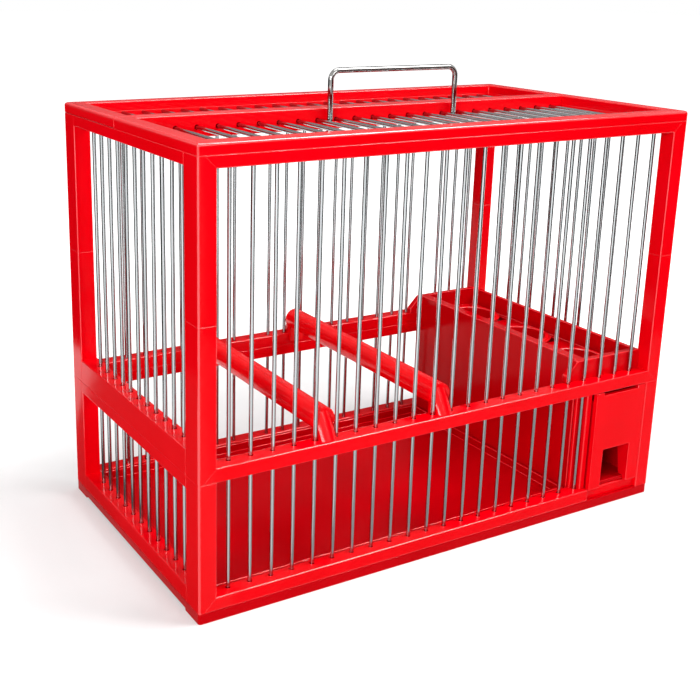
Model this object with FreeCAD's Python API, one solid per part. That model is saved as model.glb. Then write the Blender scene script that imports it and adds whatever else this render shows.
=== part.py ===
import FreeCAD, Part
import math
import os

# Overall size of the cage, feet to roof and handle
length = 234.95
width = 130.175
roof_height = 180.0
handle_rise = 16.85

# Heights of the seams between the stacked mouldings
plinth_top = 4.2
middle_seam = 56.4
upper_seam = 116.0
roof_rim_height = 4.4

# Posts and rails
post_width = 7.4
left_post_depth = 11.0
right_post_depth = 7.4
rail_depth = 7.4
corner_radius = 1.2
front_bottom_rail = 5.4
side_bottom_rail = 6.8
lower_top_rail = 5.2
front_middle_rail = 5.6
side_middle_rail = 10.3
top_rail = 4.6

# Wires
wire_radius = 0.8
wire_fit = 0.05
wire_play = 0.3
wire_sides = 6
wire_inset = 4.8
wire_seat = 1.6
front_wire_count = 23
front_wire_margin = 14.5
side_wire_count = 11
side_wire_margin = 22.0
roof_wire_drop = 5.0

# Plinth
plinth_rim = 9.5
plinth_floor = 1.8
plinth_web_left = 2.6
plinth_web_right = 4.4
foot_length = 12.0
foot_reach = 6.0
foot_height = 1.0
runner_width = 2.0
runner_spread = 19.0

# Roof frames
roof_lip_width = 3.0
roof_lip_drop = 2.0
roof_lip_gap = 0.3
roof_split = 8.2
roof_split_gap = 0.3
roof_bar_depth = 4.3
roof_bar_height = 9.0
roof_chamfer = 0.8
lid_gap = 0.2

# Lid hinge
hinge_axis_offset = 2.7
hinge_radius = 2.4
hinge_pin_radius = 0.9
hinge_fit = 0.05
hinge_spread = 140.0
knuckle_length = 7.0
knuckle_gap = 0.3

# Handle
handle_wire_radius = 1.2
handle_sides = 12
handle_fit = 0.06
handle_bend = 4.0
handle_left_number = 9
handle_right_number = 16
handle_stop_width = 3.8
handle_stop_thickness = 1.5
handle_stop_height = 2.6
handle_stop_gap = 0.4
lug_width = 5.0
lug_depth = 4.6
lug_height = 3.6

# Perches
perch_radius = 5.0
perch_groove = 0.2
perch_flutes = 12
perch_belly_sides = 8
perch_overhang = 0.9
perch_tongue_inset = 0.5
perch_tongue_gap = 0.4
perch_tongue_height = 12.0
perch_tongue_slope = 7.0
perch_tongue_round = 4.4
perch_hook_depth = 3.6
perch_hook_thickness = 1.6
perch_hook_gap = 0.4
left_perch_number = 5
right_perch_number = 11
lift_gap = 0.1

# Feeder trough and cups
partition_gap = 6.9
partition_wall = 5.0
trough_wall = 2.0
trough_top = 71.0
trough_side_gap = 0.3
shelf_thickness = 2.0
ear_reach = 7.0
ear_chamfer = 6.0
ear_thickness = 3.0
cup_count = 3
cup_gap = 1.0
cup_window_gap = 0.4
cup_sides = 22
cup_flange_width = 1.7
cup_flange_height = 0.9
cup_bead_width = 0.5
cup_bead_height = 0.7
cup_taper = 1.5
cup_depth = 11.5
cup_wall = 1.4

# Drawer
drawer_width = 30.2
drawer_gap = 0.4
drawer_sill_gap = 0.3
drawer_panel = 2.2
drawer_tab_width = 4.5
drawer_tab_height = 1.4
notch_width = 16.5
notch_height = 18.7
gusset_top_depth = 5.8
gusset_middle_depth = 4.0
gusset_bottom_depth = 2.7
drawer_wall = 1.6
drawer_box_inset = 0.5
drawer_box_gap = 0.5
drawer_back_gap = 13.7
sill_setback = 1.6
sill_drop = 0.6
jamb_width = 3.0
jamb_setback = 2.6
jamb_rear_width = 3.0
jamb_rear_setback = 5.9

# Floor tray
tray_gap = 0.8
tray_wall = 1.4
tray_top = 9.4

left = -length / 2
right = length / 2
front = -width / 2
back = width / 2
roof_seam = roof_height - roof_rim_height
handle_top = roof_height + handle_rise
inner_left = left + post_width
inner_right = right - post_width
inner_front = front + rail_depth
inner_back = back - rail_depth
front_wire_pitch = (length - 2 * front_wire_margin) / (front_wire_count - 1)
side_wire_pitch = (width - 2 * side_wire_margin) / (side_wire_count - 1)
drawer_right = inner_right - drawer_gap
drawer_left = drawer_right - drawer_width
drawer_back = inner_back - drawer_back_gap
partition_x = drawer_left - partition_gap
cup_seat = middle_seam + front_middle_rail + lift_gap
cup_rim = cup_seat + cup_flange_height + cup_bead_height
cup_floor = cup_rim - cup_depth
drawer_box_top = cup_floor - drawer_box_gap
trough_right = inner_right - trough_side_gap
trough_back = inner_back - trough_side_gap
cup_spacing = 2 * trough_back / cup_count
trough_inside = trough_right - trough_wall - partition_x - partition_wall
cup_flange_radius = min(cup_spacing, trough_inside) / 2 - cup_gap
cup_top_radius = cup_flange_radius - cup_flange_width
cup_bottom_radius = cup_top_radius - cup_taper
cup_window = 2 * (cup_top_radius + cup_window_gap)
perch_body_end = inner_back + perch_overhang
perch_tongue_end = back - perch_tongue_inset
perch_tongue_width = front_wire_pitch - 2 * wire_radius - 2 * perch_tongue_gap
same_place = 0.001


def block(x0, x1, y0, y1, z0, z1):
    corner = FreeCAD.Vector(x0, y0, z0)
    return Part.makeBox(x1 - x0, y1 - y0, z1 - z0, corner)


def rod(radius, start, end):
    axis = end - start
    return Part.makeCylinder(radius, axis.Length, start, axis)


def point(x, y, z):
    return FreeCAD.Vector(x, y, z)


def polygon(radius, sides, centre, axis):
    across = point(axis.y, axis.z, axis.x).normalize()
    upward = axis.cross(across).normalize()
    points = []
    for step in range(sides):
        angle = 2 * math.pi * step / sides
        points.append(centre + across * (radius * math.cos(angle)) + upward * (radius * math.sin(angle)))
    points.append(points[0])
    return Part.makePolygon(points)


def faceted_rod(radius, sides, start, end):
    axis = end - start
    return Part.Face(polygon(radius, sides, start, axis)).extrude(axis)


def joined(shapes):
    whole = shapes[0].fuse(shapes[1:])
    return whole.removeSplitter()


def save(name, shape):
    shape.exportStep("parts/" + name + ".step")


def near(a, b):
    return abs(a - b) < same_place


def round_corners(shape):
    picked = []
    for edge in shape.Edges:
        box = edge.BoundBox
        upright = near(box.XLength, 0) and near(box.YLength, 0)
        at_end = near(abs(box.XMin), right)
        at_side = near(abs(box.YMin), back)
        if upright and at_end and at_side:
            picked.append(edge)
    return shape.makeFillet(corner_radius, picked)


def chamfer_roof(shape):
    picked = []
    for edge in shape.Edges:
        box = edge.BoundBox
        on_end = near(abs(box.XMin), right) and near(box.XLength, 0)
        on_side = near(abs(box.YMin), back) and near(box.YLength, 0)
        at_corner = box.XLength < 2 * corner_radius and box.YLength < 2 * corner_radius
        on_top = near(box.ZMin, roof_height)
        if on_top and (on_end or on_side or at_corner):
            picked.append(edge)
    return shape.makeChamfer(roof_chamfer, picked)


def front_wire_x(number):
    return (number - 1 - (front_wire_count - 1) / 2) * front_wire_pitch


def wire_gap_x(number):
    return (front_wire_x(number) + front_wire_x(number + 1)) / 2


def side_wire_y(number):
    return (number - 1 - (side_wire_count - 1) / 2) * side_wire_pitch


def front_wire_places():
    return [(front_wire_x(number), front + wire_inset) for number in range(1, front_wire_count + 1)]


def back_wire_places():
    return [(x, -y) for x, y in front_wire_places()]


def left_wire_places():
    return [(left + wire_inset, side_wire_y(number)) for number in range(1, side_wire_count + 1)]


def right_wire_places():
    return [(-x, y) for x, y in left_wire_places()]


def jamb_left():
    return drawer_left - drawer_gap - jamb_width


def full_front_places():
    return [place for place in front_wire_places() if place[0] + 2 * wire_radius < jamb_left()]


def short_front_places():
    return [place for place in front_wire_places() if place not in full_front_places()]


def upright_rods(radius, places, z0, z1):
    return [faceted_rod(radius, wire_sides, point(x, y, z0), point(x, y, z1)) for x, y in places]


def wire_seats(places, z0, z1):
    return upright_rods(wire_radius + wire_fit, places, z0, z1)


def wire_holes(places, z0, z1):
    return upright_rods(wire_radius + wire_play, places, z0, z1)


def posts(z0, z1):
    return [
        block(left, inner_left, front, front + left_post_depth, z0, z1),
        block(left, inner_left, back - left_post_depth, back, z0, z1),
        block(inner_right, right, front, front + right_post_depth, z0, z1),
        block(inner_right, right, back - right_post_depth, back, z0, z1),
    ]


def side_rails(z0, z1):
    return [
        block(left, inner_left, front, back, z0, z1),
        block(inner_right, right, front, back, z0, z1),
    ]


def front_rail(z0, z1):
    return block(left, right, front, inner_front, z0, z1)


def back_rail(z0, z1):
    return block(left, right, inner_back, back, z0, z1)


def base_plinth():
    body = block(left, right, front, back, 0, plinth_top)
    body = round_corners(body)
    y0 = front + plinth_rim
    y1 = back - plinth_rim
    web_left = partition_x - plinth_web_left
    web_right = partition_x + plinth_web_right
    under_tray = block(left + plinth_rim, web_left, y0, y1, plinth_floor, plinth_top)
    under_drawer = block(web_right, right - plinth_rim, y0, y1, plinth_floor, plinth_top)
    left_slot = block(left, left + foot_reach, front + foot_length, back - foot_length, 0, foot_height)
    right_slot = block(right - foot_reach, right, front + foot_length, back - foot_length, 0, foot_height)
    pieces = [body.cut([under_tray, under_drawer, left_slot, right_slot])]
    middle = (drawer_left + drawer_right) / 2
    runner_top = plinth_top + front_bottom_rail - sill_drop
    for side in (-1, 1):
        x = middle + side * runner_spread / 2
        pieces.append(block(x - runner_width / 2, x + runner_width / 2, y0, drawer_back, plinth_floor, runner_top))
    save("base_plinth", joined(pieces))


def floor_tray():
    x0 = inner_left + tray_gap
    x1 = partition_x - tray_gap
    y0 = inner_front + tray_gap
    y1 = inner_back - tray_gap
    tray = block(x0, x1, y0, y1, plinth_top, tray_top)
    well = block(x0 + tray_wall, x1 - tray_wall, y0 + tray_wall, y1 - tray_wall, plinth_top + tray_wall, tray_top)
    save("floor_tray", tray.cut(well))


def lower_frame():
    rail_top = plinth_top + front_bottom_rail
    side_top = plinth_top + side_bottom_rail
    under_seam = middle_seam - lower_top_rail
    jamb_right = drawer_left - drawer_gap
    rear_left = jamb_left() - jamb_rear_width
    pieces = posts(plinth_top, middle_seam)
    pieces += side_rails(plinth_top, side_top)
    pieces += side_rails(under_seam, middle_seam)
    pieces.append(back_rail(plinth_top, rail_top))
    pieces.append(back_rail(under_seam, middle_seam))
    pieces.append(block(left, jamb_right, front, inner_front, plinth_top, rail_top))
    pieces.append(block(jamb_left(), right, front + sill_setback, inner_front, plinth_top, rail_top - sill_drop))
    pieces.append(block(jamb_left(), jamb_right, front + jamb_setback, inner_front, plinth_top, middle_seam))
    pieces.append(block(rear_left, jamb_right, front + jamb_rear_setback, inner_front, plinth_top, middle_seam))
    frame = round_corners(joined(pieces))
    sides = left_wire_places() + right_wire_places()
    holes = wire_holes(sides + back_wire_places(), under_seam, middle_seam)
    holes += wire_seats(sides, side_top - wire_seat, side_top)
    holes += wire_seats(back_wire_places() + full_front_places(), rail_top - wire_seat, rail_top)
    save("lower_frame", frame.cut(Part.makeCompound(holes)))


def middle_frame():
    pieces = posts(middle_seam, upper_seam)
    pieces += side_rails(middle_seam, middle_seam + side_middle_rail)
    pieces.append(front_rail(middle_seam, middle_seam + front_middle_rail))
    pieces.append(back_rail(middle_seam, middle_seam + front_middle_rail))
    frame = round_corners(joined(pieces))
    sides = left_wire_places() + right_wire_places()
    holes = wire_holes(sides, middle_seam, middle_seam + side_middle_rail)
    holes += wire_holes(full_front_places() + back_wire_places(), middle_seam, middle_seam + front_middle_rail)
    holes += wire_seats(short_front_places(), middle_seam, middle_seam + front_middle_rail)
    save("middle_frame", frame.cut(Part.makeCompound(holes)))


def frame_knuckle_start(side):
    middle = side * (hinge_spread + knuckle_gap + knuckle_length) / 2
    return middle - knuckle_length / 2


def lid_knuckle_start(side):
    return frame_knuckle_start(side) - side * (knuckle_length + knuckle_gap)


def knuckle(x0, x1, z0, z1, bore):
    y = back + hinge_axis_offset
    barrel = rod(hinge_radius, point(x0, y, roof_seam), point(x1, y, roof_seam))
    web = block(x0, x1, back - corner_radius, y, z0, z1)
    hole = rod(bore, point(x0, y, roof_seam), point(x1, y, roof_seam))
    clear_rail = block(x0, x1, back - corner_radius, back, z0, z1)
    return barrel.fuse(web).cut(hole).fuse(clear_rail)


def upper_frame():
    low = roof_seam - top_rail
    pieces = posts(upper_seam, roof_seam)
    pieces += side_rails(low, roof_seam)
    pieces.append(front_rail(low, roof_seam))
    pieces.append(back_rail(low, roof_seam))
    frame = round_corners(joined(pieces))
    seat = roof_lip_width + roof_lip_gap
    seat_bottom = roof_seam - roof_lip_drop - roof_lip_gap
    rebate = block(inner_left - seat, inner_right + seat, inner_front - seat, inner_back + seat, seat_bottom, roof_seam)
    pieces = [frame.cut(rebate)]
    for side in (-1, 1):
        x0 = frame_knuckle_start(side)
        x1 = x0 + knuckle_length
        pieces.append(knuckle(x0, x1, roof_seam - hinge_radius, roof_seam - lid_gap, hinge_pin_radius))
    save("upper_frame", joined(pieces))


def roof_rods(radius, y0, y1):
    z = roof_height - roof_wire_drop
    return [faceted_rod(radius, wire_sides, point(x, y0, z), point(x, y1, z)) for x, y in front_wire_places()]


def lip_sides(y0, y1, z1):
    low = roof_seam - roof_lip_drop
    return [
        block(inner_left - roof_lip_width, inner_left, y0, y1, low, z1),
        block(inner_right, inner_right + roof_lip_width, y0, y1, low, z1),
    ]


def cross_bar(y0, y1):
    low = roof_seam - roof_lip_drop
    deep = roof_height - roof_bar_height
    return [
        block(inner_left - roof_lip_width, inner_right + roof_lip_width, y0, y1, low, roof_height),
        block(inner_left + roof_lip_gap, inner_right - roof_lip_gap, y0, y1, deep, roof_height),
    ]


def handle_axis_y():
    return roof_split - roof_bar_depth - lug_depth / 2


def handle_legs_x():
    return [wire_gap_x(handle_left_number), wire_gap_x(handle_right_number)]


def roof_front():
    bar_front = roof_split - roof_bar_depth
    rim = block(left, right, front, roof_split, roof_seam, roof_height)
    window = block(inner_left, inner_right, inner_front, bar_front, roof_seam, roof_height)
    pieces = [chamfer_roof(round_corners(rim)).cut(window)]
    pieces += lip_sides(inner_front - roof_lip_width, roof_split, roof_height - corner_radius)
    front_lip = inner_front - roof_lip_width
    low = roof_seam - roof_lip_drop
    pieces.append(block(inner_left - roof_lip_width, inner_right + roof_lip_width, front_lip, inner_front, low, roof_seam))
    pieces += cross_bar(bar_front, roof_split)
    deep = roof_height - roof_bar_height
    for x in handle_legs_x():
        lug = block(x - lug_width / 2, x + lug_width / 2, bar_front - lug_depth, bar_front, deep, deep + lug_height)
        pieces.append(lug)
    frame = joined(pieces)
    cuts = []
    for x in handle_legs_x():
        y = handle_axis_y()
        cuts.append(rod(handle_wire_radius + handle_fit, point(x, y, deep), point(x, y, deep + lug_height)))
    cuts += roof_rods(wire_radius + wire_fit, bar_front, bar_front + wire_seat)
    save("roof_front", frame.cut(Part.makeCompound(cuts)))


def roof_lid():
    lid_front = roof_split + roof_split_gap
    bar_back = lid_front + roof_bar_depth
    rim = block(left, right, lid_front, back, roof_seam + lid_gap, roof_height)
    window = block(inner_left, inner_right, bar_back, inner_back, roof_seam, roof_height)
    pieces = [chamfer_roof(round_corners(rim)).cut(window)]
    pieces += lip_sides(lid_front, inner_back + roof_lip_width, roof_height - corner_radius)
    low = roof_seam - roof_lip_drop
    back_lip = inner_back + roof_lip_width
    lip_top = roof_seam + lid_gap
    pieces.append(block(inner_left - roof_lip_width, inner_right + roof_lip_width, inner_back, back_lip, low, lip_top))
    pieces += cross_bar(lid_front, bar_back)
    for side in (-1, 1):
        x0 = lid_knuckle_start(side)
        x1 = x0 + knuckle_length
        pieces.append(knuckle(x0, x1, roof_seam + lid_gap, roof_seam + hinge_radius, hinge_pin_radius + hinge_fit))
    frame = joined(pieces)
    cuts = roof_rods(wire_radius + wire_fit, inner_back, inner_back + wire_seat)
    save("roof_lid", frame.cut(Part.makeCompound(cuts)))


def hinge_pins():
    y = back + hinge_axis_offset
    pins = []
    for side in (-1, 1):
        x0 = min(frame_knuckle_start(side), lid_knuckle_start(side))
        x1 = x0 + 2 * knuckle_length + knuckle_gap
        pins.append(rod(hinge_pin_radius, point(x0, y, roof_seam), point(x1, y, roof_seam)))
    save("hinge_pins", Part.makeCompound(pins))


def upright_wires():
    top = roof_seam - top_rail
    low_front = plinth_top + front_bottom_rail - wire_seat
    low_side = plinth_top + side_bottom_rail - wire_seat
    fronts = upright_rods(wire_radius, full_front_places(), low_front, top)
    fronts += upright_rods(wire_radius, short_front_places(), middle_seam, top)
    save("front_wires", Part.makeCompound(fronts))
    save("back_wires", Part.makeCompound(upright_rods(wire_radius, back_wire_places(), low_front, top)))
    save("left_wires", Part.makeCompound(upright_rods(wire_radius, left_wire_places(), low_side, top)))
    save("right_wires", Part.makeCompound(upright_rods(wire_radius, right_wire_places(), low_side, top)))


def roof_wires():
    bar_front = roof_split - roof_bar_depth
    bar_back = roof_split + roof_split_gap + roof_bar_depth
    fronts = roof_rods(wire_radius, inner_front, bar_front + wire_seat)
    lids = roof_rods(wire_radius, bar_back, inner_back + wire_seat)
    save("roof_wires", Part.makeCompound(fronts))
    save("lid_wires", Part.makeCompound(lids))


def handle():
    x0, x1 = handle_legs_x()
    y = handle_axis_y()
    lug_bottom = roof_height - roof_bar_height
    stop_top = lug_bottom - handle_stop_gap
    foot = stop_top - handle_stop_height
    top = handle_top - handle_wire_radius
    shoulder = top - handle_bend
    turn = point(0, 1, 0)
    left_end = Part.Face(polygon(handle_wire_radius, handle_sides, point(x0, y, shoulder), point(0, 0, 1)))
    right_end = Part.Face(polygon(handle_wire_radius, handle_sides, point(x1, y, shoulder), point(0, 0, 1)))
    pieces = [
        faceted_rod(handle_wire_radius, handle_sides, point(x0, y, foot), point(x0, y, shoulder)),
        left_end.revolve(point(x0 + handle_bend, y, shoulder), turn, 90),
        faceted_rod(handle_wire_radius, handle_sides, point(x0 + handle_bend, y, top), point(x1 - handle_bend, y, top)),
        right_end.revolve(point(x1 - handle_bend, y, shoulder), turn, -90),
        faceted_rod(handle_wire_radius, handle_sides, point(x1, y, foot), point(x1, y, shoulder)),
    ]
    for x in (x0, x1):
        half = handle_stop_width / 2
        thin = handle_stop_thickness / 2
        pieces.append(block(x - half, x + half, y - thin, y + thin, foot, stop_top))
    save("handle", joined(pieces))


def fluted_rod(x, z):
    rim = []
    for step in range(perch_flutes * 2 + 1):
        rim.append((perch_radius - perch_groove * (step % 2), math.pi * step / (perch_flutes * 2)))
    for step in range(1, perch_belly_sides):
        rim.append((perch_radius, math.pi + math.pi * step / perch_belly_sides))
    points = []
    for radius, angle in rim:
        points.append(point(x + radius * math.cos(angle), -perch_body_end, z + radius * math.sin(angle)))
    face = Part.Face(Part.makePolygon(points + points[:1]))
    return face.extrude(point(0, 2 * perch_body_end, 0))


def tongue(x, seat, side):
    half = perch_tongue_width / 2
    top = seat + perch_tongue_height
    inner = side * (inner_back - perch_hook_gap)
    outer = side * perch_tongue_end
    tip = side * (perch_tongue_end - perch_tongue_slope)
    outline = [
        point(x - half, inner, seat),
        point(x - half, outer, seat),
        point(x - half, tip, top),
        point(x - half, inner, top),
        point(x - half, inner, seat),
    ]
    slab = Part.Face(Part.makePolygon(outline)).extrude(point(perch_tongue_width, 0, 0))
    low = min(inner, outer)
    high = max(inner, outer)
    dome = rod(half, point(x, low, top - half), point(x, high, top - half))
    upright = block(x - half, x + half, low, high, seat, top - half)
    slant = point(0, tip - outer, top - seat)
    inward = point(0, -side * slant.z, side * slant.y).normalize() * perch_tongue_round
    foot = point(x, outer, seat) + inward
    strap = rod(perch_tongue_round, foot - slant, foot + slant * 2)
    return slab.common(dome.fuse(upright)).common(strap)


def perch(name, gap):
    x = wire_gap_x(gap)
    rail_top = middle_seam + front_middle_rail
    seat = rail_top + lift_gap
    z = seat + perch_tongue_height - perch_radius
    half = perch_tongue_width / 2
    hook_end = inner_back - perch_hook_gap
    pieces = [fluted_rod(x, z)]
    for side in (-1, 1):
        pieces.append(tongue(x, seat, side))
        y0 = min(side * hook_end, side * (hook_end - perch_hook_thickness))
        pieces.append(block(x - half, x + half, y0, y0 + perch_hook_thickness, rail_top - perch_hook_depth, z))
    save(name, joined(pieces))


def cup_middle_x():
    return partition_x + partition_wall + trough_inside / 2


def trough():
    x1 = trough_right
    rail_top = middle_seam + front_middle_rail
    y0 = -trough_back
    y1 = trough_back
    ear_left = partition_x - ear_reach
    shelf_low = rail_top - shelf_thickness
    pieces = [
        block(partition_x, partition_x + partition_wall, y0, y1, plinth_top, trough_top),
        block(x1 - trough_wall, x1, y0, y1, shelf_low, trough_top),
    ]
    shelf = block(partition_x, x1, y0, y1, shelf_low, rail_top)
    half = cup_window / 2
    for row in (-1, 0, 1):
        x = cup_middle_x()
        y = row * cup_spacing
        shelf = shelf.cut(block(x - half, x + half, y - half, y + half, shelf_low, rail_top))
    pieces.append(shelf)
    outline = [
        point(ear_left, 0, rail_top),
        point(x1, 0, rail_top),
        point(x1, 0, trough_top),
        point(ear_left + ear_chamfer, 0, trough_top),
        point(ear_left, 0, trough_top - ear_chamfer),
        point(ear_left, 0, rail_top),
    ]
    ear = Part.Face(Part.makePolygon(outline)).extrude(point(0, ear_thickness, 0))
    ear_front = front + wire_inset + wire_radius + trough_side_gap
    pieces.append(ear.translated(point(0, ear_front, 0)))
    pieces.append(ear.translated(point(0, -ear_front - ear_thickness, 0)))
    save("feeder_trough", joined(pieces))


def tapered(x, y, low_radius, high_radius, z0, z1):
    up = point(0, 0, 1)
    low = polygon(low_radius, cup_sides, point(x, y, z0), up)
    high = polygon(high_radius, cup_sides, point(x, y, z1), up)
    low_points = [vertex.Point for vertex in low.OrderedVertexes]
    high_points = [vertex.Point for vertex in high.OrderedVertexes]
    faces = [Part.Face(low), Part.Face(high)]
    for step in range(cup_sides):
        corners = [low_points[step - 1], low_points[step], high_points[step], high_points[step - 1]]
        faces.append(Part.Face(Part.makePolygon(corners + corners[:1])))
    return Part.makeSolid(Part.makeShell(faces))


def feed_cup(name, row):
    x = cup_middle_x()
    y = row * cup_spacing
    flange_top = cup_seat + cup_flange_height
    bead_radius = cup_top_radius + cup_bead_width
    inner_low = cup_bottom_radius - cup_wall
    inner_high = cup_top_radius - cup_wall
    body = tapered(x, y, cup_bottom_radius, cup_top_radius, cup_floor, cup_seat)
    flange = tapered(x, y, cup_flange_radius, cup_flange_radius, cup_seat, flange_top)
    bead = tapered(x, y, bead_radius, bead_radius, flange_top, cup_rim)
    inside = tapered(x, y, inner_low, inner_high, cup_floor + cup_wall, cup_rim)
    save(name, joined([body, flange, bead]).cut(inside))


def drawer():
    x0 = drawer_left
    x1 = drawer_right
    low = plinth_top + front_bottom_rail - sill_drop + drawer_sill_gap
    high = middle_seam - drawer_gap
    behind = front + drawer_panel
    middle = (x0 + x1) / 2
    panel = block(x0, x1, front, behind, low, high)
    relief = block(x0 + drawer_tab_width, x1 - drawer_tab_width, front, behind, high - drawer_tab_height, high)
    half = notch_width / 2
    notch_top = low + notch_height
    notch = block(middle - half, middle + half, front, behind, low, notch_top)
    pieces = [panel.cut([relief, notch])]
    floor = low + drawer_wall
    crown = notch_top + drawer_wall
    rear = Part.Arc(
        point(0, behind + gusset_top_depth, crown),
        point(0, behind + gusset_middle_depth, (crown + floor) / 2),
        point(0, behind + gusset_bottom_depth, floor),
    )
    edges = [
        Part.makeLine(point(0, behind, floor), point(0, behind, crown)),
        Part.makeLine(point(0, behind, crown), point(0, behind + gusset_top_depth, crown)),
        rear.toShape(),
        Part.makeLine(point(0, behind + gusset_bottom_depth, floor), point(0, behind, floor)),
    ]
    gusset = Part.Face(Part.Wire(edges)).extrude(point(drawer_wall, 0, 0))
    pieces.append(gusset.translated(point(middle + half, 0, 0)))
    pieces.append(gusset.translated(point(middle - half - drawer_wall, 0, 0)))
    save("drawer_front", joined(pieces))
    box_left = x0 + drawer_box_inset
    box_right = x1 - drawer_box_inset
    box = block(box_left, box_right, behind, drawer_back, low, drawer_box_top)
    inside = block(box_left + drawer_wall, box_right - drawer_wall, behind, drawer_back - drawer_wall, floor, drawer_box_top)
    save("drawer_box", box.cut(inside))


os.makedirs("parts", exist_ok=True)
base_plinth()
floor_tray()
lower_frame()
middle_frame()
upper_frame()
roof_front()
roof_lid()
hinge_pins()
upright_wires()
roof_wires()
handle()
perch("left_perch", left_perch_number)
perch("right_perch", right_perch_number)
trough()
feed_cup("front_cup", -1)
feed_cup("middle_cup", 0)
feed_cup("back_cup", 1)
drawer()
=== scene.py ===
import bmesh
import bpy
import math
from mathutils import Matrix, Vector


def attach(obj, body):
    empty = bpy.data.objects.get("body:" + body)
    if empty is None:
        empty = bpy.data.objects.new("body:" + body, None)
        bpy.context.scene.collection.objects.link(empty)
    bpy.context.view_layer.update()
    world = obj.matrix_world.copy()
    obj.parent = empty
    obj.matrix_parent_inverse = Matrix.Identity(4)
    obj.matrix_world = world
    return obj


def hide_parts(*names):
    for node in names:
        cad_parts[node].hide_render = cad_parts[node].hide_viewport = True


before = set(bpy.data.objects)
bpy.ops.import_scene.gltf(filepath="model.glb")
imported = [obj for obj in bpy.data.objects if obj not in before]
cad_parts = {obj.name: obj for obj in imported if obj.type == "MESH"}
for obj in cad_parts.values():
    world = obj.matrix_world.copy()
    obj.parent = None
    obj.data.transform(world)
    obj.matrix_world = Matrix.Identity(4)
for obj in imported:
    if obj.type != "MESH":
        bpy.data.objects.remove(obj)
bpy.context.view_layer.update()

# Base plinth: the flat slab that the cage stands on, with short corner feet and two drawer runners.
# One injection moulding of deep red polystyrene, glued under the lower frame.
mm = 0.001


def linear(code):
    channels = [int(code[start:start + 2], 16) / 255 for start in (1, 3, 5)]
    return [c / 12.92 if c <= 0.04045 else ((c + 0.055) / 1.055) ** 2.4 for c in channels] + [1.0]


def add_node(tree, kind, settings={}, links={}):
    node = tree.nodes.new(kind)
    for name, value in settings.items():
        if isinstance(name, int) or name in node.inputs:
            node.inputs[name].default_value = value
        else:
            setattr(node, name, value)
    for name, socket in links.items():
        tree.links.new(socket, node.inputs[name])
    return node


# Moulded polystyrene: hard, smooth and glossy, with shallow flow waves about 12 mm apart, a haze of 2 mm
# patches that breaks up the gloss and 45 mm clouds of tone, so that flat faces do not look painted.
def red_polystyrene(name, deep, bright, shine, smooth, rough):
    material = bpy.data.materials.new(name)
    material.use_nodes = True
    tree = material.node_tree
    place = add_node(tree, "ShaderNodeTexCoord").outputs["Object"]
    waves = add_node(tree, "ShaderNodeTexNoise", {"Scale": 1 / (12 * mm), "Detail": 1.0}, {"Vector": place})
    haze = add_node(tree, "ShaderNodeTexNoise", {"Scale": 1 / (2 * mm), "Detail": 3.0}, {"Vector": place})
    cloud = add_node(tree, "ShaderNodeTexNoise", {"Scale": 1 / (45 * mm), "Detail": 2.0}, {"Vector": place})
    tint = add_node(tree, "ShaderNodeValToRGB", {}, {"Fac": cloud.outputs["Fac"]})
    tint.color_ramp.elements[0].position = 0.3
    tint.color_ramp.elements[0].color = linear(deep)
    tint.color_ramp.elements[1].position = 0.7
    tint.color_ramp.elements[1].color = linear(bright)
    gloss = add_node(tree, "ShaderNodeMapRange", {"To Min": smooth, "To Max": rough},
                     {"Value": haze.outputs["Fac"]})
    flow = add_node(tree, "ShaderNodeBump", {"Strength": 0.12, "Distance": 0.15 * mm},
                    {"Height": waves.outputs["Fac"]})
    skin = tree.nodes["Principled BSDF"]
    skin.inputs["Specular IOR Level"].default_value = shine
    tree.links.new(tint.outputs["Color"], skin.inputs["Base Color"])
    tree.links.new(gloss.outputs["Result"], skin.inputs["Roughness"])
    tree.links.new(flow.outputs["Normal"], skin.inputs["Normal"])
    return material


# The flat faces are a saturated red. The edges are shinier and a paler red: a painted highlight along each
# bevel.
red_plastic = red_polystyrene("moulded_red_polystyrene", "#E2000A", "#EE0010", 0.1, 0.08, 0.14)
glossy_edge_painted_highlight = red_polystyrene("glossy_red_edge_painted_highlight", "#EC0A16", "#F61822", 1.0, 0.08, 0.14)
# The plinth, tray and drawer box get a deeper red than the frames; on the tray and box it is painted shade.
deep_red_painted_shade = red_polystyrene("deep_red_polystyrene_painted_shade", "#B80008", "#C6000C", 0.03, 0.16, 0.26)


def dress(name, material, edge, sharpness=40):
    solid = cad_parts[name]
    for holder in solid.material_slots:
        holder.material = material
    # The bevels take the second material, a paler red that is a painted highlight along each edge.
    solid.data.materials.append(glossy_edge_painted_highlight)
    weld = solid.modifiers.new("joined_facets", "WELD")
    weld.merge_threshold = 0.005 * mm
    soft = solid.modifiers.new("softened_edges", "BEVEL")
    soft.width = edge * mm
    soft.segments = 2
    soft.limit_method = "ANGLE"
    soft.angle_limit = math.radians(sharpness)
    soft.material = 1
    solid.modifiers.new("even_shading", "WEIGHTED_NORMAL")


dress("base_plinth", deep_red_painted_shade, 0.35)

# Floor tray: a shallow open tray with a low rim that lies inside the lower frame.
# Moulded from the same red polystyrene and loose on the plinth.
# The tray's deeper red is painted shade, the shade that lies on the cage's floor.
dress("floor_tray", deep_red_painted_shade, 0.3)

# Lower frame: four posts, the bottom rails, the upper rails of the sides and back, and the drawer's jamb.
# Each face is a flat moulded frame whose bars meet in fine mitred lines. The wires stand in drilled holes.
left, right, front, back = -117.475, 117.475, -65.0875, 65.0875
inner_left, inner_right, inner_front, inner_back = -110.075, 110.075, -57.6875, 57.6875
left_post_depth, right_post_depth = 11.0, 7.4
wire_inset = 4.8
wire_pitch, side_pitch = 205.95 / 22, 8.6175
front_wires_x = [wire_pitch * (number - 11) for number in range(23)]
side_wires_y = [side_pitch * (number - 5) for number in range(11)]
hole_radius, hole_sides = 1.05, 16
roof_edge, post_edge, soft_edge, seam_line, fine_edge, joint_line = 1.2, 0.7, 0.45, 0.2, 0.1, 0.06


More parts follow.
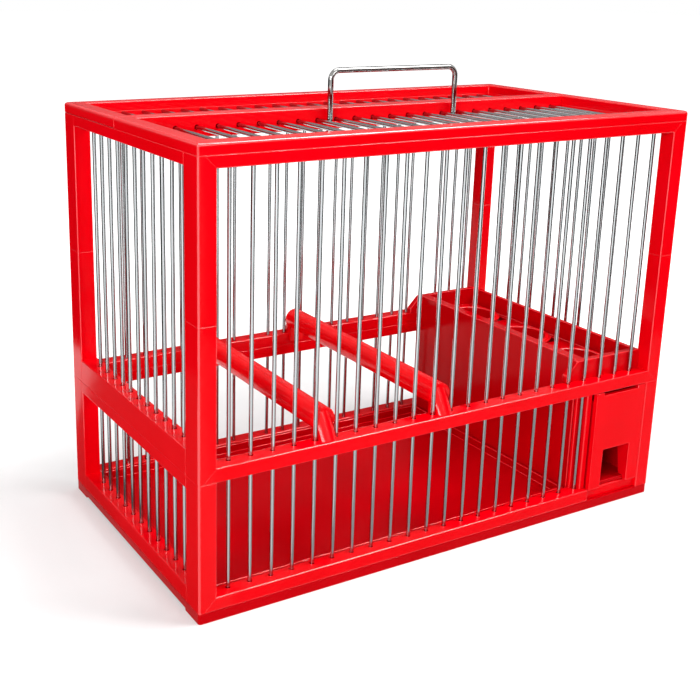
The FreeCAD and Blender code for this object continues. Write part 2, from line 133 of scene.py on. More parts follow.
def spread(plane, u, v, depth):
    if plane == "front":
        return Vector((u, depth, v)) * mm
    if plane == "side":
        return Vector((depth, u, v)) * mm
    return Vector((u, v, depth)) * mm


def circle(radius, sides):
    turns = [2 * math.pi * step / sides for step in range(sides)]
    return [(radius * math.cos(turn), radius * math.sin(turn)) for turn in turns]


def join_rings(mesh, low, high):
    for step in range(len(low)):
        mesh.faces.new([low[step - 1], low[step], high[step], high[step - 1]])


def drill(plane, places, near, far):
    build = bmesh.new()
    around = circle(hole_radius, hole_sides)
    for u, v in places:
        rings = []
        for depth in (near, far):
            rings.append([build.verts.new(spread(plane, u + du, v + dv, depth)) for du, dv in around])
        build.faces.new(rings[0])
        build.faces.new(rings[1])
        join_rings(build, *rings)
    bmesh.ops.recalc_face_normals(build, faces=build.faces)
    shape = bpy.data.meshes.new("drill")
    build.to_mesh(shape)
    build.free()
    tool = bpy.data.objects.new("drill", shape)
    bpy.context.collection.objects.link(tool)
    return tool


def bar(whole, plane, outline, near, far, sides={}, near_edges={}, far_edge=None, corners={},
        soft=soft_edge, drilled=None):
    build = bmesh.new()
    weight = build.edges.layers.float.new("bevel_weight_edge")
    near_ring = [build.verts.new(spread(plane, u, v, near)) for u, v in outline]
    far_ring = [build.verts.new(spread(plane, u, v, far)) for u, v in outline]
    count = len(outline)
    build.faces.new(near_ring)
    build.faces.new(far_ring)
    for side in range(count):
        ahead = (side + 1) % count
        build.faces.new([near_ring[side], near_ring[ahead], far_ring[ahead], far_ring[side]])
        radius = sides.get(side, soft)
        near_radius = near_edges.get(side, radius)
        far_radius = radius if far_edge is None else far_edge
        corner_radius = corners.get(side, min(radius, sides.get((side - 1) % count, soft)))
        build.edges.get((near_ring[side], near_ring[ahead]))[weight] = near_radius / roof_edge
        build.edges.get((far_ring[side], far_ring[ahead]))[weight] = far_radius / roof_edge
        build.edges.get((near_ring[side], far_ring[side]))[weight] = corner_radius / roof_edge
    bmesh.ops.recalc_face_normals(build, faces=build.faces)
    shape = bpy.data.meshes.new("bar")
    build.to_mesh(shape)
    build.free()
    shape.materials.append(red_plastic)
    shape.materials.append(glossy_edge_painted_highlight)
    stick = bpy.data.objects.new("bar", shape)
    bpy.context.collection.objects.link(stick)
    # The bevels take the paler edge red: a painted highlight along each edge and seam line.
    edges = stick.modifiers.new("edges", "BEVEL")
    edges.limit_method = "WEIGHT"
    edges.width = roof_edge * mm
    edges.segments = 3
    edges.material = 1
    if drilled:
        cut = stick.modifiers.new("holes", "BOOLEAN")
        cut.object = drill(*drilled)
        cut.operation = "DIFFERENCE"
        cut.solver = "EXACT"
    result = bpy.data.meshes.new_from_object(stick.evaluated_get(bpy.context.evaluated_depsgraph_get()))
    whole.from_mesh(result)
    if drilled:
        bpy.data.objects.remove(cut.object)
    bpy.data.objects.remove(stick)
    bpy.data.meshes.remove(result)


def box_bar(whole, x0, x1, y0, y1, z0, z1, sides={}, soft=soft_edge, drilled=None):
    outline = [(x0, z0), (x1, z0), (x1, z1), (x0, z1)]
    bar(whole, "front", outline, y0, y1, sides, soft=soft, drilled=drilled)


def settle(name, whole, material, edge, body, *nodes):
    shape = bpy.data.meshes.new(name)
    whole.to_mesh(shape)
    whole.free()
    shape.materials.append(material)
    shape.materials.append(edge)
    shape.shade_smooth()
    shape.set_sharp_from_angle(angle=math.radians(50))
    piece = bpy.data.objects.new(name, shape)
    bpy.context.collection.objects.link(piece)
    even = piece.modifiers.new("even_shading", "WEIGHTED_NORMAL")
    even.keep_sharp = True
    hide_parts(*nodes)
    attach(piece, body)
    return piece


def mitred_post(whole, side, face, low, high, bottom_rail, top_rail):
    outer, inner = side * right, side * inner_right
    outline = [(outer, low)]
    sides = {0: seam_line}
    if bottom_rail:
        outline += [(inner + side * bottom_rail, low), (inner, low + bottom_rail)]
        sides[1] = joint_line
    else:
        outline.append((inner, low))
    if top_rail:
        outline.append((inner, high - top_rail))
        sides[len(outline) - 1] = joint_line
        outline.append((inner + side * top_rail, high))
    else:
        outline.append((inner, high))
    sides[len(outline) - 1] = seam_line
    outline.append((outer, high))
    depth = left_post_depth if side < 0 else right_post_depth
    outer_side = len(outline) - 1
    bar(whole, "front", outline, face * back, face * (back - depth), sides, {outer_side: post_edge})
    rail = bottom_rail or top_rail
    if side < 0 and rail:
        level = low if bottom_rail else high
        tip = low + rail if bottom_rail else high - rail
        wedge = [(inner - rail, level), (inner, level), (inner, tip)]
        bar(whole, "front", wedge, face * inner_back, face * (back - depth), soft=0.0)


def mitred_rail(whole, face, level, tip, depth, drilled=None):
    reach = abs(tip - level)
    outline = [(inner_left - reach, level), (inner_right + reach, level),
               (inner_right, tip), (inner_left, tip)]
    sides = {0: seam_line, 1: joint_line, 3: joint_line}
    bar(whole, "front", outline, face * back, face * (back - depth), sides, drilled=drilled)


def side_rails(whole, low, high, seam, near, far):
    sides = {seam: seam_line, 1: joint_line, 3: joint_line}
    for side, post_depth in ((-1, left_post_depth), (1, right_post_depth)):
        reach = back - post_depth
        outline = [(-reach, low), (reach, low), (reach, high), (-reach, high)]
        places = [(side * (right - wire_inset), y) for y in side_wires_y]
        bar(whole, "side", outline, side * right, side * inner_right, sides, far_edge=fine_edge,
            drilled=("top", places, near, far))


plinth_top, middle_seam, upper_seam, roof_seam, roof_top = 4.2, 56.4, 116.0, 175.6, 180.0
rail_depth, rail_height, sill_height, side_sill_top = 7.4, 5.4, 4.8, 11.0
rail_top = plinth_top + rail_height
under_seam = middle_seam - 5.2
jamb_left, jamb_right, stop_width = 76.075, 79.075, 3.0
sill_inset, jamb_inset, stop_inset = 1.6, 2.6, 5.9
jamb_edge, stop_edge = 0.35, 0.3
beside_drawer = 20
low_seats, side_seats, seam_holes = (6.0, 11.0), (7.0, 13.0), (50.0, 58.0)
back_row = [(x, back - wire_inset) for x in front_wires_x]
front_row = [(x, front + wire_inset) for x in front_wires_x]
whole = bmesh.new()
for face in (-1, 1):
    for side in (-1, 1):
        mitred_post(whole, side, face, plinth_top, middle_seam, rail_height, 0)
outline = [(inner_left - rail_height, plinth_top), (jamb_right, plinth_top),
           (jamb_right, rail_top), (inner_left, rail_top)]
bar(whole, "front", outline, front, inner_front, {3: joint_line},
    drilled=("top", front_row[:beside_drawer], *low_seats))
stub = [(inner_right, plinth_top), (inner_right + rail_height, plinth_top), (inner_right, rail_top)]
bar(whole, "front", stub, front, inner_front, {0: seam_line, 1: joint_line})
box_bar(whole, jamb_right, inner_right, front + sill_inset, inner_front, plinth_top, plinth_top + sill_height,
        {0: seam_line, 1: joint_line, 3: joint_line})
mitred_rail(whole, 1, plinth_top, rail_top, rail_depth, ("top", back_row, *low_seats))
box_bar(whole, inner_left, inner_right, inner_back, back, under_seam, middle_seam,
        {1: joint_line, 2: seam_line, 3: joint_line}, drilled=("top", back_row, *seam_holes))
side_rails(whole, plinth_top, side_sill_top, 0, *side_seats)
side_rails(whole, under_seam, middle_seam, 2, *seam_holes)
box_bar(whole, jamb_left, jamb_right, front + jamb_inset, inner_front, rail_top, middle_seam,
        {0: joint_line, 2: seam_line}, jamb_edge)
box_bar(whole, jamb_left - stop_width, jamb_left, front + stop_inset, inner_front, rail_top, middle_seam,
        {0: joint_line, 1: joint_line, 2: seam_line}, stop_edge)
lower_frame = settle("lower_frame_bars", whole, red_plastic, glossy_edge_painted_highlight, "cage", "lower_frame")

# Middle frame: four posts and the rails at half height that carry the perches and the feeder.
# The same mitred red mouldings, drilled right through for the wires that pass them with a little play.
middle_rail, side_middle_rail = 5.6, 10.3
middle_holes, side_middle_holes = (55.0, 64.0), (55.0, 69.0)
whole = bmesh.new()
for face in (-1, 1):
    for side in (-1, 1):
        mitred_post(whole, side, face, middle_seam, upper_seam, middle_rail, 0)
mitred_rail(whole, -1, middle_seam, middle_seam + middle_rail, rail_depth, ("top", front_row, *middle_holes))
mitred_rail(whole, 1, middle_seam, middle_seam + middle_rail, rail_depth, ("top", back_row, *middle_holes))
side_rails(whole, middle_seam, middle_seam + side_middle_rail, 0, *side_middle_holes)
middle_frame = settle("middle_frame_bars", whole, red_plastic, glossy_edge_painted_highlight, "cage", "middle_frame")

# Upper frame: four posts and the top rails, rebated inside so that the roof frames drop in.
# Mitred red mouldings with two hinge knuckles moulded on the back rail.
top_rail, rebate_width, rebate_depth, ledge_edge = 4.6, 3.3, 2.3, 0.3
hinge_y, hinge_radius, knuckle_length, knuckle_sides = 67.7875, 2.4, 7.0, 32
rail_overlap, knuckle_overlap, knuckle_gap = 0.3, 0.4, 0.2
pressed_bore, turning_bore = 0.92, 0.95


def knuckle(whole, x0, z0, z1, bore):
    rings = []
    for x in (x0, x0 + knuckle_length):
        for radius in (hinge_radius, bore):
            around = circle(radius, knuckle_sides)
            points = [Vector((x, hinge_y + dy, roof_seam + dz)) * mm for dy, dz in around]
            rings.append([whole.verts.new(point) for point in points])
    for near, far in ((0, 2), (1, 3), (0, 1), (2, 3)):
        join_rings(whole, rings[near], rings[far])
    root = hinge_y - math.sqrt(hinge_radius ** 2 - (z1 - z0) ** 2 / 4) + knuckle_overlap
    box_bar(whole, x0, x0 + knuckle_length, back - rail_overlap, root, z0, z1, soft=fine_edge)


whole = bmesh.new()
low, ledge_top = roof_seam - top_rail, roof_seam - rebate_depth
square_ends = {1: 0.0, 3: 0.0}
for face in (-1, 1):
    for side in (-1, 1):
        mitred_post(whole, side, face, upper_seam, roof_seam, 0, top_rail)
for face in (-1, 1):
    mitred_rail(whole, face, roof_seam, low, rail_depth - rebate_width)
    ledge = [(inner_left, low), (inner_right, low), (inner_right, ledge_top), (inner_left, ledge_top)]
    bar(whole, "front", ledge, face * (inner_back + rebate_width), face * inner_back,
        square_ends, soft=ledge_edge)
for side, post_depth in ((-1, left_post_depth), (1, right_post_depth)):
    reach = back - post_depth
    outline = [(-reach, low), (reach, low), (reach, roof_seam), (-reach, roof_seam)]
    bar(whole, "side", outline, side * right, side * (inner_right + rebate_width),
        {1: joint_line, 2: seam_line, 3: joint_line})
    ledge = [(-reach, low), (reach, low), (reach, ledge_top), (-reach, ledge_top)]
    bar(whole, "side", ledge, side * (inner_right + rebate_width), side * inner_right,
        square_ends, soft=ledge_edge)
for x in (-77.15, 70.15):
    knuckle(whole, x, roof_seam - hinge_radius, roof_seam - knuckle_gap, pressed_bore)
upper_frame = settle("upper_frame_bars", whole, red_plastic, glossy_edge_painted_highlight, "cage", "upper_frame")

# Front roof frame: a flat rim over the front half of the roof, with the deep cross bar along its rear edge.
# One red moulding with two small lugs on the bar's front, in which the handle's legs slide.
roof_wire_z = 175.0
bar_front, bar_rear = 3.9, 8.2
lip_low, bar_low, lip_width, lip_overlap = 173.6, 171.0, 3.0, 0.2
bar_edge, bar_end_gap = 0.4, 0.3


def roof_rim(whole, low, split, face):
    edge, window = face * back, face * inner_back
    outline = [(left, edge), (right, edge), (right, split), (inner_right, split)]
    outline += [(inner_right, window), (inner_left, window), (inner_left, split), (left, split)]
    outer = {0: roof_edge, 1: roof_edge, 7: roof_edge}
    bar(whole, "top", outline, roof_top, low, {2: seam_line, 6: seam_line}, outer, seam_line,
        {0: post_edge, 1: post_edge})


def cross_bar(whole, near, far, drilled=None):
    box_bar(whole, inner_left, inner_right, near, far, lip_low, roof_top,
            {0: 0.0, 1: 0.0, 3: 0.0}, bar_edge, drilled)
    box_bar(whole, inner_left + bar_end_gap, inner_right - bar_end_gap, near, far, bar_low, lip_low,
            {2: 0.0}, bar_edge)


def roof_lips(whole, near, far, face, top):
    for side in (-1, 1):
        lip = sorted((side * inner_right, side * (inner_right + lip_width)))
        box_bar(whole, lip[0], lip[1], near, far, lip_low, top, soft=seam_line)
    ends = sorted((face * inner_back, face * (inner_back + lip_width)))
    box_bar(whole, inner_left, inner_right, ends[0], ends[1], lip_low, top, soft=seam_line)


whole = bmesh.new()
roof_rim(whole, roof_seam, bar_rear, -1)
roof_holes = [(x, roof_wire_z) for x in front_wires_x]
cross_bar(whole, bar_front, bar_rear, ("front", roof_holes, bar_front - 1, bar_front + 2.5))
roof_lips(whole, inner_front - lip_width, bar_rear, -1, roof_seam + lip_overlap)
handle_y = 1.6
handle_x = (-2.5 * wire_pitch, 4.5 * wire_pitch)
lug_width, lug_depth, lug_height, lug_edge = 5.0, 4.6, 3.6, 0.35
for x in handle_x:
    box_bar(whole, x - lug_width / 2, x + lug_width / 2, bar_front - lug_depth, bar_front + rail_overlap,
            bar_low, bar_low + lug_height, soft=lug_edge)
roof_front = settle("roof_front_rim", whole, red_plastic, glossy_edge_painted_highlight, "cage", "roof_front")

# Roof lid: the rear half of the roof, hinged at the back so that it swings up for access from above.
# A red moulded rim with its own cross bar against the front one, and two hinge knuckles at the back.
lid_front, lid_bar_rear = 8.5, 12.8
lid_low = 175.8
whole = bmesh.new()
roof_rim(whole, lid_low, lid_front, 1)
cross_bar(whole, lid_front, lid_bar_rear)
roof_lips(whole, lid_front, inner_back + lip_width, 1, lid_low + lip_overlap)
for x in (-69.85, 62.85):
    knuckle(whole, x, lid_low, roof_seam + hinge_radius, turning_bore)
roof_lid = settle("roof_lid_rim", whole, red_plastic, glossy_edge_painted_highlight, "lid", "roof_lid")

# Hinge pins: two short lengths of steel wire, pressed into the frame's knuckles.
# The lid's knuckles turn freely on them.
pin_x, pin_reach, pin_radius, thick_wire_sides = 70.0, 7.15, 0.9, 24
# Drawn steel wire: mid grey and smooth, with faint lines along its length from the drawing die.
# The lines are some hundredths of a millimetre apart, drawn here at 0.25 mm so that they show.
steel_wire = bpy.data.materials.new("drawn_steel_wire")
steel_wire.use_nodes = True
tree = steel_wire.node_tree
place = add_node(tree, "ShaderNodeTexCoord").outputs["Object"]
line_spacing, line_length = 0.25 * mm, 30 * mm
lengthwise = add_node(tree, "ShaderNodeMapping",
                      {"Scale": (1 / line_spacing, 1 / line_spacing, 1 / line_length)}, {"Vector": place})
lines = add_node(tree, "ShaderNodeTexNoise", {"Scale": 1.0, "Detail": 2.0},
                 {"Vector": lengthwise.outputs["Vector"]})
tone = add_node(tree, "ShaderNodeValToRGB", {}, {"Fac": lines.outputs["Fac"]})
tone.color_ramp.elements[0].position = 0.3
tone.color_ramp.elements[0].color = linear("#989C9E")
tone.color_ramp.elements[1].position = 0.7
tone.color_ramp.elements[1].color = linear("#BABDBE")
dull = add_node(tree, "ShaderNodeMapRange", {"To Min": 0.12, "To Max": 0.2}, {"Value": lines.outputs["Fac"]})
skin = tree.nodes["Principled BSDF"]
skin.inputs["Metallic"].default_value = 1.0
tree.links.new(tone.outputs["Color"], skin.inputs["Base Color"])
tree.links.new(dull.outputs["Result"], skin.inputs["Roughness"])


def tube(whole, points, radius, sides):
    last = len(points) - 1
    ahead = [(points[min(n + 1, last)] - points[max(n - 1, 0)]).normalized() for n in range(len(points))]
    across = ahead[0].orthogonal().normalized()
    rings = []
    for place, way in zip(points, ahead):
        across = (across - way * across.dot(way)).normalized()
        up = way.cross(across)
        around = [place + across * du + up * dv for du, dv in circle(radius, sides)]
        rings.append([whole.verts.new(point * mm) for point in around])
    for low, high in zip(rings, rings[1:]):
        join_rings(whole, low, high)
    whole.faces.new(rings[0][::-1])
    whole.faces.new(rings[-1])


whole = bmesh.new()
for x in (-pin_x, pin_x):
    ends = [Vector((x + reach, hinge_y, roof_seam)) for reach in (-pin_reach, pin_reach)]
    tube(whole, ends, pin_radius, thick_wire_sides)
hinge_pins = settle("hinge_pin_wires", whole, steel_wire, steel_wire, "cage", "hinge_pins")

# Side wires: straight lengths of steel wire that stand in the bottom rails, pass the middle rails and end
# under the top rails. Cut and pushed in by hand, so each has a slight bow of its own.
wire_radius, wire_sides, wire_steps, greatest_bow = 0.8, 16, 8, 0.1
low_foot, side_foot, foot_over_drawer, wire_top = 7.9, 9.3, 56.6, 171.4


def bow(number, height):
    return greatest_bow * math.sin(2.4 * number) * math.sin(math.pi * height)


def upright_wires(whole, places, low, high, start):
    for number, (x, y) in enumerate(places):
        points = []
        for step in range(wire_steps + 1):
            height = step / wire_steps
            lean = bow(number + start, height)
            sway = bow(number * 1.7 + start, height)
            points.append(Vector((x + lean, y + sway, low + (high - low) * height)))
        tube(whole, points, wire_radius, wire_sides)


whole = bmesh.new()
upright_wires(whole, front_row[:beside_drawer], low_foot, wire_top, 1)
upright_wires(whole, front_row[beside_drawer:], foot_over_drawer, wire_top, 40)
settle("front_side_wires", whole, steel_wire, steel_wire, "cage", "front_wires")
whole = bmesh.new()
upright_wires(whole, back_row, low_foot, wire_top, 5)
settle("back_side_wires", whole, steel_wire, steel_wire, "cage", "back_wires")
whole = bmesh.new()
upright_wires(whole, [(left + wire_inset, y) for y in side_wires_y], side_foot, wire_top, 9)
settle("left_side_wires", whole, steel_wire, steel_wire, "cage", "left_wires")
whole = bmesh.new()
upright_wires(whole, [(right - wire_inset, y) for y in side_wires_y], side_foot, wire_top, 13)
settle("right_side_wires", whole, steel_wire, steel_wire, "cage", "right_wires")

# Roof wires: the same steel wire laid from the rims to the two cross bars, half on the cage, half on the lid.
# The ends stand in holes in the bars and rims, a little below the roof's top face.
roof_wire_steps, front_seat, rear_seat = 6, 0.4, 1.6


def level_wires(near, far, start):
    whole = bmesh.new()
    for number, x in enumerate(front_wires_x):
        points = []
        for step in range(roof_wire_steps + 1):
            along = step / roof_wire_steps
            sway = bow(number + start, along)
            sag = 0.6 * bow(number * 1.3 + start, along)
            points.append(Vector((x + sway, near + (far - near) * along, roof_wire_z + sag)))
        tube(whole, points, wire_radius, wire_sides)
    return whole


whole = level_wires(inner_front - front_seat, bar_front + rear_seat, 3)
settle("roof_front_wires", whole, steel_wire, steel_wire, "cage", "roof_wires")
whole = level_wires(lid_bar_rear - front_seat, inner_back + rear_seat, 7)
settle("roof_lid_wires", whole, steel_wire, steel_wire, "lid", "lid_wires")

# Carrying handle: one length of thicker wire bent to a flat loop, whose feet are pressed wide below the lugs.
# It slides down into the roof when the cage is put away.
handle_top, handle_foot, handle_radius, bend, bend_steps = 195.65, 168.0, 1.2, 4.0, 8
foot_half_width, foot_half_depth, foot_top, foot_edge = 1.9, 0.75, 170.6, 0.3
# Bright nickel plating: almost a mirror, grey and a little warm, with faint patches dulled by fingers.
bright_wire = bpy.data.materials.new("nickel_plated_wire")
bright_wire.use_nodes = True
tree = bright_wire.node_tree
place = add_node(tree, "ShaderNodeTexCoord").outputs["Object"]
touched = add_node(tree, "ShaderNodeTexNoise", {"Scale": 1 / (6 * mm), "Detail": 3.0}, {"Vector": place})
tone = add_node(tree, "ShaderNodeValToRGB", {}, {"Fac": touched.outputs["Fac"]})
tone.color_ramp.elements[0].color = linear("#8E8E8C")
tone.color_ramp.elements[1].color = linear("#A8A8A6")
dull = add_node(tree, "ShaderNodeMapRange", {"To Min": 0.02, "To Max": 0.05},
                {"Value": touched.outputs["Fac"]})
skin = tree.nodes["Principled BSDF"]
skin.inputs["Metallic"].default_value = 1.0
tree.links.new(tone.outputs["Color"], skin.inputs["Base Color"])
tree.links.new(dull.outputs["Result"], skin.inputs["Roughness"])
left_half = [(handle_x[0], handle_foot), (handle_x[0], roof_top)]
for step in range(bend_steps + 1):
    angle = math.pi / 2 * step / bend_steps
    bent_x = handle_x[0] + bend - bend * math.cos(angle)
    left_half.append((bent_x, handle_top - bend + bend * math.sin(angle)))
right_half = [(sum(handle_x) - x, z) for x, z in reversed(left_half)]
points = [Vector((x, handle_y, z)) for x, z in left_half + right_half]
whole = bmesh.new()
tube(whole, points, handle_radius, thick_wire_sides)
for x in handle_x:
    box_bar(whole, x - foot_half_width, x + foot_half_width, handle_y - foot_half_depth,
            handle_y + foot_half_depth, handle_foot, foot_top, soft=foot_edge)
settle("handle_loop", whole, bright_wire, bright_wire, "handle", "handle")

# Perches: two fluted rods across the cage, with flat tongues at their ends that hook over the middle rails.
# Red polystyrene mouldings that lift straight off, polished along the flutes by the bird's feet.
# Polished polystyrene: more gloss for soft white streaks along the rods, and a brighter red that is painted
# light.
polished_red_painted_light = red_polystyrene("polished_red_polystyrene_painted_light", "#F40008", "#FC0010", 0.3, 0.1, 0.2)
dress("left_perch", polished_red_painted_light, 0.25, 70)
dress("right_perch", polished_red_painted_light, 0.25, 70)

# Feeder trough: a tall partition with a shelf for three cups, its ears resting on the middle rails.
# One red moulding, dropped in from above before the roof goes on.
# The trough's red lies between the frames' and the tray's: painted shade, so the partition is dark, the rim
# bright.
mid_red_painted_shade = red_polystyrene("mid_red_polystyrene_painted_shade", "#C60009", "#D4000D", 0.08, 0.12, 0.2)
dress("feeder_trough", mid_red_painted_shade, 0.4)

# Feed cups: three round cups with a beaded rim that hang by their flanges in the shelf's windows.
# Thin-walled red mouldings, loose so that they can be lifted out and filled.
cup_x, cup_spacing, cup_sides, rounding_steps = 92.675, 38.25833, 64, 4
cup_floor, cup_inside, cup_seat, bead_low, cup_rim = 52.2, 53.6, 62.1, 63.0, 63.7
bead_line = bead_low - 0.1


def rounded_outline(corners):
    points = [Vector(corners[0][:2])]
    for before, here, after in zip(corners, corners[1:], corners[2:]):
        middle = Vector(here[:2])
        start = middle + (Vector(before[:2]) - middle).normalized() * here[2]
        end = middle + (Vector(after[:2]) - middle).normalized() * here[2]
        for step in range(rounding_steps + 1):
            along = step / rounding_steps
            points.append(start * (1 - along) ** 2 + middle * 2 * along * (1 - along) + end * along ** 2)
    points.append(Vector(corners[-1][:2]))
    return points


cup_profile = rounded_outline([
    (0.0, cup_floor, 0), (10.9, cup_floor, 1.0), (12.4, cup_seat, 0.2), (14.1, cup_seat, 0.3),
    (14.1, bead_low, 0.3), (12.9, bead_low, 0.15), (12.9, cup_rim, 0.5), (11.0, cup_rim, 0.5),
    (9.5, cup_inside, 1.2), (0.0, cup_inside, 0),
])
# The bowls take the trough's darker red, painted shade, and the beaded rim takes the paler edge red, a
# painted highlight.
for name, row in (("front_cup", -1), ("middle_cup", 0), ("back_cup", 1)):
    whole = bmesh.new()
    cup_y = row * cup_spacing
    rings = []
    for radius, z in cup_profile:
        around = circle(radius, cup_sides if radius else 1)
        rings.append([whole.verts.new(Vector((cup_x + dx, cup_y + dy, z)) * mm) for dx, dy in around])
    for low, high in zip(rings, rings[1:]):
        bead = min(low[0].co.z, high[0].co.z) > bead_line * mm
        for step in range(cup_sides):
            before = step - 1
            corners = [low[before % len(low)], low[step % len(low)]]
            corners += [high[step % len(high)], high[before % len(high)]]
            whole.faces.new(list(dict.fromkeys(corners))).material_index = int(bead)
    settle(name + "_bowl", whole, mid_red_painted_shade, glossy_edge_painted_highlight, name, name)

# Drawer: a front plate with a finger notch and two tabs, and an open box behind it.
# Two red mouldings pushed together, that slide on the plinth's runners.
dress("drawer_front", red_plastic, 0.2)
# The box's deeper red is painted shade, the shade inside the drawer.
dress("drawer_box", deep_red_painted_shade, 0.1)

# Floor and studio: a plain pale sheet under the cage, four soft lights and a white surround. The floor keeps
# the cage's shadow and is otherwise white, to the eye and in reflections.
def seen_rays(tree):
    ray = add_node(tree, "ShaderNodeLightPath")
    seen = add_node(tree, "ShaderNodeMath", {"operation": "MAXIMUM"},
                    {0: ray.outputs["Is Camera Ray"], 1: ray.outputs["Is Glossy Ray"]})
    shown = add_node(tree, "ShaderNodeMath", {"operation": "MAXIMUM"},
                     {0: seen.outputs[0], 1: ray.outputs["Is Transmission Ray"]})
    return shown.outputs[0]


# Uncoated paper: matt and pale, with a faint mottle. Near the cage it glows less, so that the shadow shows.
paper = bpy.data.materials.new("pale_paper")
paper.use_nodes = True
tree = paper.node_tree
tree.nodes.remove(tree.nodes["Principled BSDF"])
grain = add_node(tree, "ShaderNodeTexNoise", {"Scale": 1 / (3 * mm)})
shade = add_node(tree, "ShaderNodeValToRGB", {}, {"Fac": grain.outputs["Fac"]})
shade.color_ramp.elements[0].color = linear("#C4C4C4")
shade.color_ramp.elements[1].color = linear("#CACACA")
sheet = add_node(tree, "ShaderNodeBsdfDiffuse", {}, {"Color": shade.outputs["Color"]})
spot = add_node(tree, "ShaderNodeNewGeometry")
reach = add_node(tree, "ShaderNodeVectorMath", {"operation": "LENGTH"}, {0: spot.outputs["Position"]})
fade = add_node(tree, "ShaderNodeMapRange",
                {"From Min": 0.14, "From Max": 0.42, "To Min": 0.36, "To Max": 1.0},
                {"Value": reach.outputs["Value"]})
lift = add_node(tree, "ShaderNodeMath", {"operation": "MULTIPLY"},
                {0: seen_rays(tree), 1: fade.outputs["Result"]})
glow = add_node(tree, "ShaderNodeEmission", {}, {"Strength": lift.outputs[0]})
both = add_node(tree, "ShaderNodeAddShader", {}, {0: sheet.outputs[0], 1: glow.outputs[0]})
tree.links.new(both.outputs[0], tree.nodes["Material Output"].inputs["Surface"])
ground = bmesh.new()
bmesh.ops.create_grid(ground, x_segments=2, y_segments=2, size=6.0)
floor_shape = bpy.data.meshes.new("floor_sheet")
ground.to_mesh(floor_shape)
ground.free()
floor_shape.materials.append(paper)
floor = bpy.data.objects.new("floor_sheet", floor_shape)
bpy.context.collection.objects.link(floor)
scene = bpy.context.scene
scene.view_settings.view_transform = "Standard"
world = bpy.data.worlds.new("white_studio")
scene.world = world
world.use_nodes = True
tree = world.node_tree
tree.nodes.clear()
level = add_node(tree, "ShaderNodeMapRange", {"To Min": 0.12, "To Max": 1.0}, {"Value": seen_rays(tree)})
surround = add_node(tree, "ShaderNodeBackground", {"Color": (1, 1, 1, 1)},
                    {"Strength": level.outputs["Result"]})
add_node(tree, "ShaderNodeOutputWorld", {}, {"Surface": surround.outputs[0]})


cage_middle = Vector((0, 0, 0.08))


def softbox(name, place, size, power):
    lamp = bpy.data.lights.new(name, "AREA")
    lamp.shape = "SQUARE"
    lamp.size = size
    lamp.energy = power
    holder = bpy.data.objects.new(name, lamp)
    bpy.context.collection.objects.link(holder)
    holder.location = place
    holder.rotation_euler = (cage_middle - Vector(place)).to_track_quat("-Z", "Y").to_euler()


softbox("right_softbox", (0.62, -0.4, 1.1), 0.5, 13.0)
softbox("top_softbox", (0.05, 0.05, 1.2), 0.6, 8.0)
softbox("left_softbox", (-1.0, -0.7, 0.45), 0.5, 11.0)
softbox("front_softbox", (0.3, -1.4, 0.55), 0.5, 4.0)

# Cards: sheets of black and grey card out of the picture, standing, lying and overhead, that only reflections
# see. They keep the white surround off the glossy faces and give the wires and the handle their dark edges.
def shaded_card(name, low, high):
    material = bpy.data.materials.new(name)
    material.use_nodes = True
    tree = material.node_tree
    spot = add_node(tree, "ShaderNodeNewGeometry")
    height = add_node(tree, "ShaderNodeSeparateXYZ", {}, {"Vector": spot.outputs["Position"]})
    grade = add_node(tree, "ShaderNodeMapRange", {"From Min": 0.14, "From Max": 0.3},
                     {"Value": height.outputs["Z"]})
    shade = add_node(tree, "ShaderNodeValToRGB", {}, {"Fac": grade.outputs["Result"]})
    shade.color_ramp.elements[0].color = linear(low)
    shade.color_ramp.elements[1].color = linear(high)
    skin = tree.nodes["Principled BSDF"]
    skin.inputs["Roughness"].default_value = 1.0
    skin.inputs["Specular IOR Level"].default_value = 0.0
    tree.links.new(shade.outputs["Color"], skin.inputs["Base Color"])
    return material


# Matt card: standing ones run from black to grey, those on the floor are grey and the one overhead is black,
# so that the top faces have a sheen, the low faces stay deep red and the handle has dark outlines.
graded_card = shaded_card("graded_card", "#0C0C0C", "#8C8C8C")
pale_grey_card = shaded_card("pale_grey_card", "#A4A4A4", "#ACACAC")
dark_grey_card = shaded_card("dark_grey_card", "#585858", "#606060")
black_card = shaded_card("black_card", "#0C0C0C", "#161616")


def card(name, material, corners):
    sheet = bmesh.new()
    sheet.faces.new([sheet.verts.new(corner) for corner in corners])
    shape = bpy.data.meshes.new(name)
    sheet.to_mesh(shape)
    sheet.free()
    shape.materials.append(material)
    stand = bpy.data.objects.new(name, shape)
    bpy.context.collection.objects.link(stand)
    stand.visible_camera = False
    stand.visible_diffuse = False
    stand.visible_transmission = False
    stand.visible_shadow = False


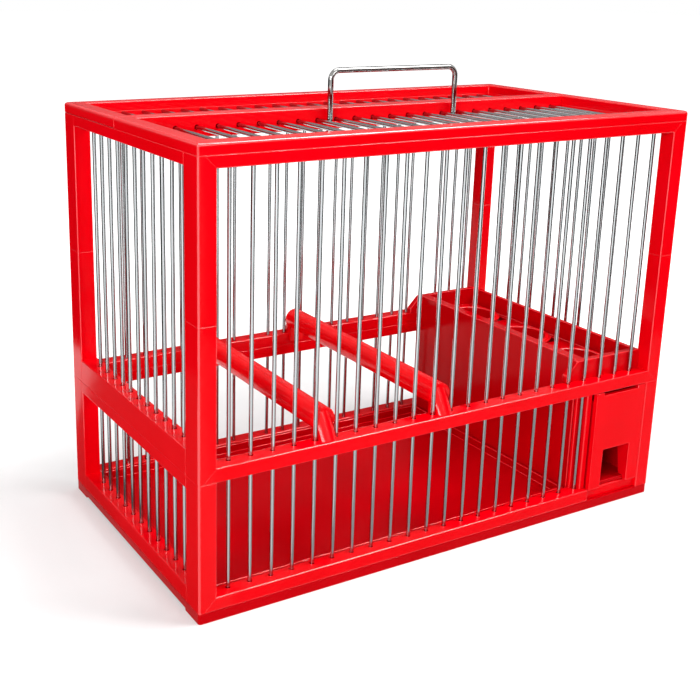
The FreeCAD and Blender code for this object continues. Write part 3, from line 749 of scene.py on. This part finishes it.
def upright_card(name, start, end, height):
    card(name, graded_card, [(*start, 0), (*end, 0), (*end, height), (*start, height)])


def level_card(name, material, height, *corners):
    card(name, material, [(x, y, height) for x, y in corners])


just_above_floor, ceiling = 0.3 * mm, 1.25
upright_card("right_card", (0.02, -0.36), (0.42, -0.18), 0.24)
upright_card("left_card", (-0.34, -0.02), (-0.14, 0.34), 0.24)
upright_card("back_card", (-0.3, 0.5), (0.9, 0.5), 1.1)
level_card("ceiling_card", black_card, ceiling, (-0.3, -0.2), (1.3, -0.2), (1.3, 0.6), (-0.3, 0.6))
level_card("left_floor_card", dark_grey_card, just_above_floor,
           (-0.12, -0.06), (-0.12, 0.1), (-0.34, 0.5), (-0.5, 0.5))
level_card("right_floor_card", pale_grey_card, just_above_floor,
           (-0.1, -0.07), (0.02, -0.36), (0.42, -0.18), (0.13, -0.07))

# Camera: stands to the left of the front, a little above the roof, as a product picture is taken.
# Its focal length and the small shift put the cage where a square picture frames it.
azimuth, elevation, roll = math.radians(-30.2), math.radians(15.48), math.radians(0.96)
focal_px, centre_px, centre_py = 1103.4, 280.0, 280.0
picture_px, sensor = 700, 36.0
offset = Vector((39.2, -98.94, -521.38)) * mm
away = Vector((math.sin(azimuth) * math.cos(elevation), -math.cos(azimuth) * math.cos(elevation),
               math.sin(elevation)))
level_right = Vector((math.cos(azimuth), math.sin(azimuth), 0))
level_up = away.cross(level_right)
across = level_right * math.cos(roll) + level_up * math.sin(roll)
upward = level_up * math.cos(roll) - level_right * math.sin(roll)
lens = bpy.data.cameras.new("picture_camera")
lens.sensor_width = sensor
lens.lens = focal_px / picture_px * sensor
lens.shift_x = (picture_px / 2 - centre_px) / picture_px
lens.shift_y = (centre_py - picture_px / 2) / picture_px
lens.clip_start = 0.01
camera = bpy.data.objects.new("picture_camera", lens)
bpy.context.collection.objects.link(camera)
turn = Matrix((across, upward, away)).transposed()
camera.matrix_world = Matrix.Translation(-(turn @ offset)) @ turn.to_4x4()
scene.camera = camera
